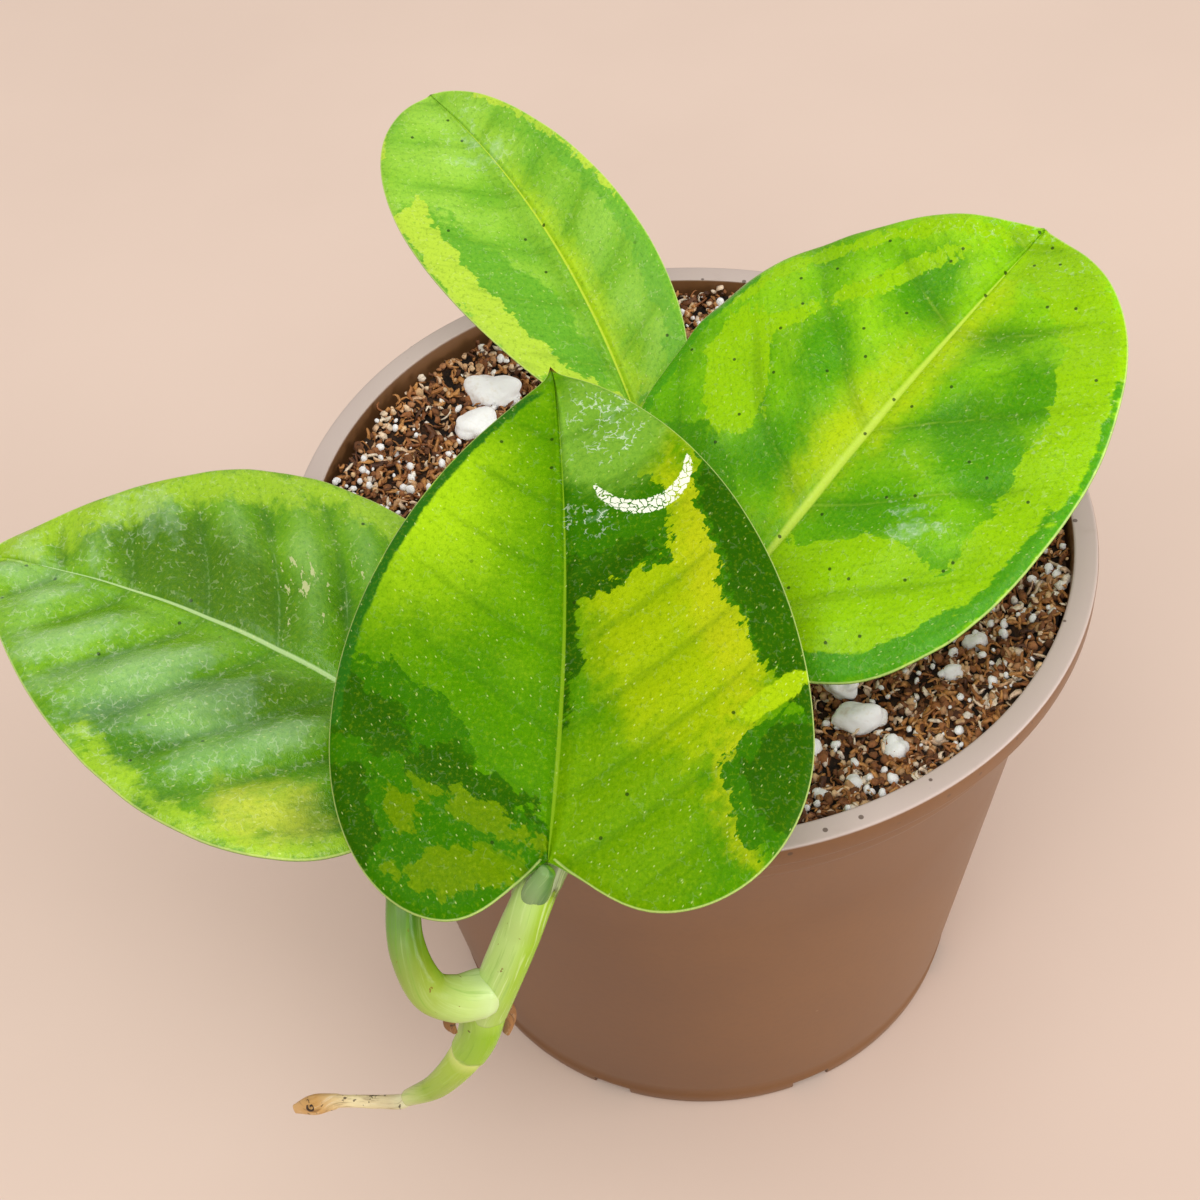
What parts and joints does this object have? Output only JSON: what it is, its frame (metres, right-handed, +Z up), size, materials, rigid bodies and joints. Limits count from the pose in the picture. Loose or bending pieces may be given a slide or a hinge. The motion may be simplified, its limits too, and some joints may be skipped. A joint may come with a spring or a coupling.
{
  "type": "potted pothos",
  "caption": "Small variegated pothos vine in a tapered plastic nursery pot, with heart-shaped leaves, perlite-flecked soil and a growing end that hangs over the rim.",
  "frame": {"origin": "centre of the pot's round base, on the surface it stands on", "axes": "+Z up along the pot's axis, -Y towards the side where the vine hangs over the rim, +X to the right when that side is faced"},
  "size_m": [0.1451, 0.1303, 0.1219],
  "materials": {
    "pot_plastic": "soft satin taupe polypropylene",
    "potting_soil": "coarse matt coir and bark fibre",
    "perlite": "matt white expanded volcanic glass",
    "green_stem": "smooth waxy pale green",
    "dry_stem": "matt shrivelled tan",
    "aerial_root": "matt corky brown",
    "leaf_blade": "glossy waxy leaf marbled in lime, yellow and dark green"
  },
  "bodies": {
    "root": {"pot": "pot_plastic", "potting_soil": "potting_soil", "main_stem": "green_stem", "vine_tail": "green_stem", "dry_tip": "dry_stem", "left_aerial_root": "aerial_root", "right_aerial_root": "aerial_root", "front_petiole": "green_stem", "left_petiole": "green_stem", "right_petiole": "green_stem", "back_petiole": "green_stem", "front_leaf": "leaf_blade", "left_leaf": "leaf_blade", "right_leaf": "leaf_blade", "back_leaf": "leaf_blade", "perlite_01": "perlite", "perlite_02": "perlite", "perlite_03": "perlite", "perlite_04": "perlite", "perlite_05": "perlite", "perlite_06": "perlite", "perlite_07": "perlite", "perlite_08": "perlite", "perlite_09": "perlite", "perlite_10": "perlite", "perlite_11": "perlite", "perlite_12": "perlite", "perlite_13": "perlite", "perlite_14": "perlite", "perlite_15": "perlite", "perlite_16": "perlite", "perlite_17": "perlite", "perlite_18": "perlite", "perlite_19": "perlite", "perlite_20": "perlite"}
  },
  "joints": []
}
